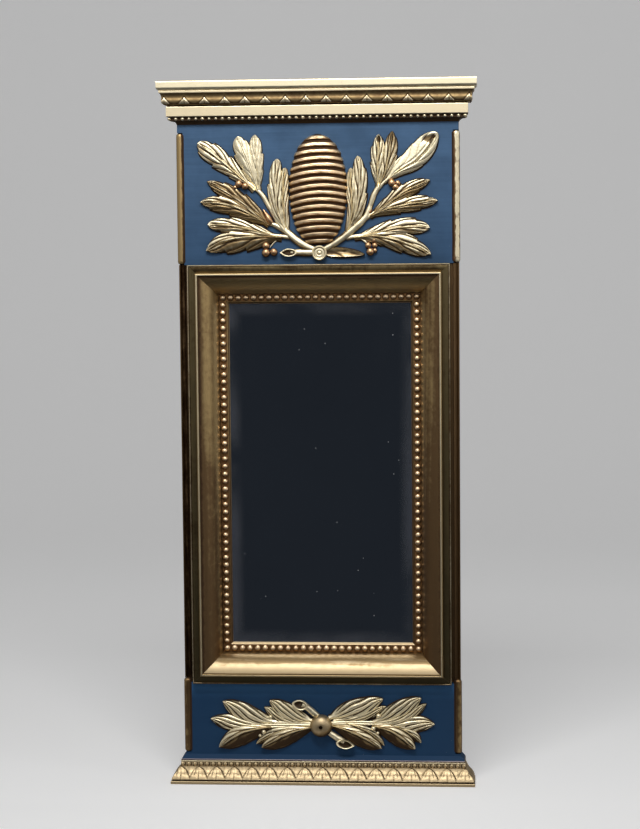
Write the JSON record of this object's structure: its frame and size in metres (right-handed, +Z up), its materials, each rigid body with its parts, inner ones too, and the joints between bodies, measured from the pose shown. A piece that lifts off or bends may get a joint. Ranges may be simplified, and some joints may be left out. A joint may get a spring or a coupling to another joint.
{
  "type": "wall mirror",
  "caption": "Gilded and painted pier mirror with a laurel and ribbed egg above the plate, pearl-edged cove frame, cornice, flared foot and a hanging ring at the back.",
  "frame": {"origin": "middle of the underside of the foot, halfway from the front of the cornice to the flat back", "axes": "+Z up, -Y out of the mirror towards the room, +X to the right as seen from the room"},
  "size_m": [0.402, 0.053, 0.9],
  "materials": {
    "blue_paint": "worn dull blue distemper on pine",
    "gilt": "worn water gilding with dark recesses",
    "dark_gilt": "toned bronze-brown gilding",
    "pine": "bare aged pine",
    "plate": "old silvered glass with fine specks",
    "iron": "forged, dark and lightly rusted"
  },
  "bodies": {
    "mirror": {"back_board_lower": "pine", "back_board_middle": "pine", "back_board_upper": "pine", "back_nails": "iron", "boss": "gilt", "bottom_rail": "pine", "cornice_band_front": "gilt", "cornice_band_left": "gilt", "cornice_band_right": "gilt", "cornice_board": "gilt", "cornice_leaf_front": "gilt", "cornice_leaf_left": "gilt", "cornice_leaf_right": "gilt", "edge_strip_left": "dark_gilt", "edge_strip_right": "dark_gilt", "egg": "gilt", "foot_bead_front": "gilt", "foot_bead_left": "gilt", "foot_bead_right": "gilt", "foot_leaf_front": "gilt", "foot_leaf_left": "gilt", "foot_leaf_right": "gilt", "frame_band_bottom": "dark_gilt", "frame_band_left": "dark_gilt", "frame_band_right": "dark_gilt", "frame_band_top": "dark_gilt", "frame_bottom": "gilt", "frame_left": "gilt", "frame_right": "gilt", "frame_top": "gilt", "hanger_nails": "iron", "hanger_plate": "iron", "laurel_left": "gilt", "laurel_right": "gilt", "lower_panel": "blue_paint", "lower_rail": "pine", "lower_rod_left": "gilt", "lower_rod_right": "gilt", "mirror_plate": "plate", "pearl_row_bottom": "gilt", "pearl_row_left": "gilt", "pearl_row_right": "gilt", "pearl_row_top": "gilt", "plinth_board": "gilt", "rosette": "gilt", "stile_left": "pine", "stile_right": "pine", "swag_left": "gilt", "swag_right": "gilt", "top_rail": "pine", "upper_panel": "blue_paint", "upper_rail": "pine", "upper_rod_left": "gilt", "upper_rod_right": "gilt"},
    "ring": {"hanging_ring": "iron"}
  },
  "joints": [
    {"name": "ring_swing", "type": "hinge", "parent": "mirror", "child": "ring", "pos_m": [0, 0.02279, 0.874], "axis": [1, 0, 0], "range_deg": [0, 125]}
  ]
}
